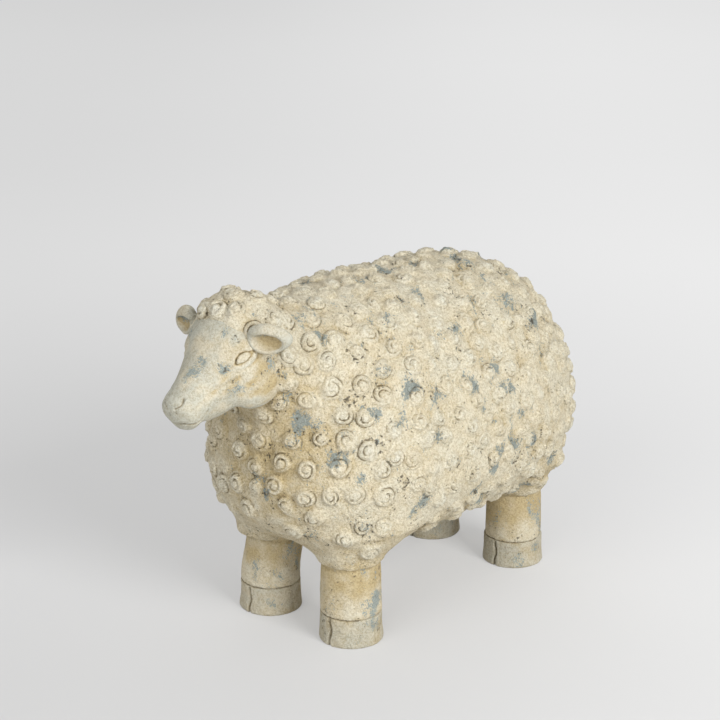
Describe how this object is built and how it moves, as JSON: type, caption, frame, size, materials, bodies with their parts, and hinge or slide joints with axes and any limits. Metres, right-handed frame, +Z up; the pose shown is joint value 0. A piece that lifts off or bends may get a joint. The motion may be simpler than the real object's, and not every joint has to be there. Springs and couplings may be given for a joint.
{
  "type": "sheep figurine",
  "caption": "Standing sheep garden ornament: curled fleece body, smooth face, cupped ears and stout round legs with cloven hooves, cast in pieces on steel rods; rests on its flat soles.",
  "frame": {"origin": "on the floor, under the middle of the ornament's bounding box", "axes": "+Z up, the sheep faces -Y, its left side is +X"},
  "size_m": [0.2794, 0.5472, 0.3695],
  "materials": {
    "fleece_casting": "matte, cream paint worn to the grey cast body",
    "face_casting": "matte, chalky cream paint with worn patches",
    "leg_casting": "matte, ochre cream paint",
    "hoof_casting": "matte, chalky cream paint with dirt near the ground",
    "mortar": "rough grey mortar",
    "bonding_strip": "rough, mesh set in mortar",
    "steel_rod": "plain steel bar, dull"
  },
  "bodies": {
    "root": {"ear_left": "face_casting", "ear_right": "face_casting", "fleece_shell_left": "fleece_casting", "fleece_shell_right": "fleece_casting", "head": "face_casting", "hoof_front_left": "hoof_casting", "hoof_front_right": "hoof_casting", "hoof_rear_left": "hoof_casting", "hoof_rear_right": "hoof_casting", "leg_block_front_left": "mortar", "leg_block_front_right": "mortar", "leg_block_rear_left": "mortar", "leg_block_rear_right": "mortar", "leg_front_left": "leg_casting", "leg_front_right": "leg_casting", "leg_rear_left": "leg_casting", "leg_rear_right": "leg_casting", "leg_rod_front_left": "steel_rod", "leg_rod_front_right": "steel_rod", "leg_rod_rear_left": "steel_rod", "leg_rod_rear_right": "steel_rod", "neck_block": "mortar", "neck_collar": "fleece_casting", "neck_rod": "steel_rod", "seam_strip": "bonding_strip", "tail": "fleece_casting"}
  },
  "joints": []
}
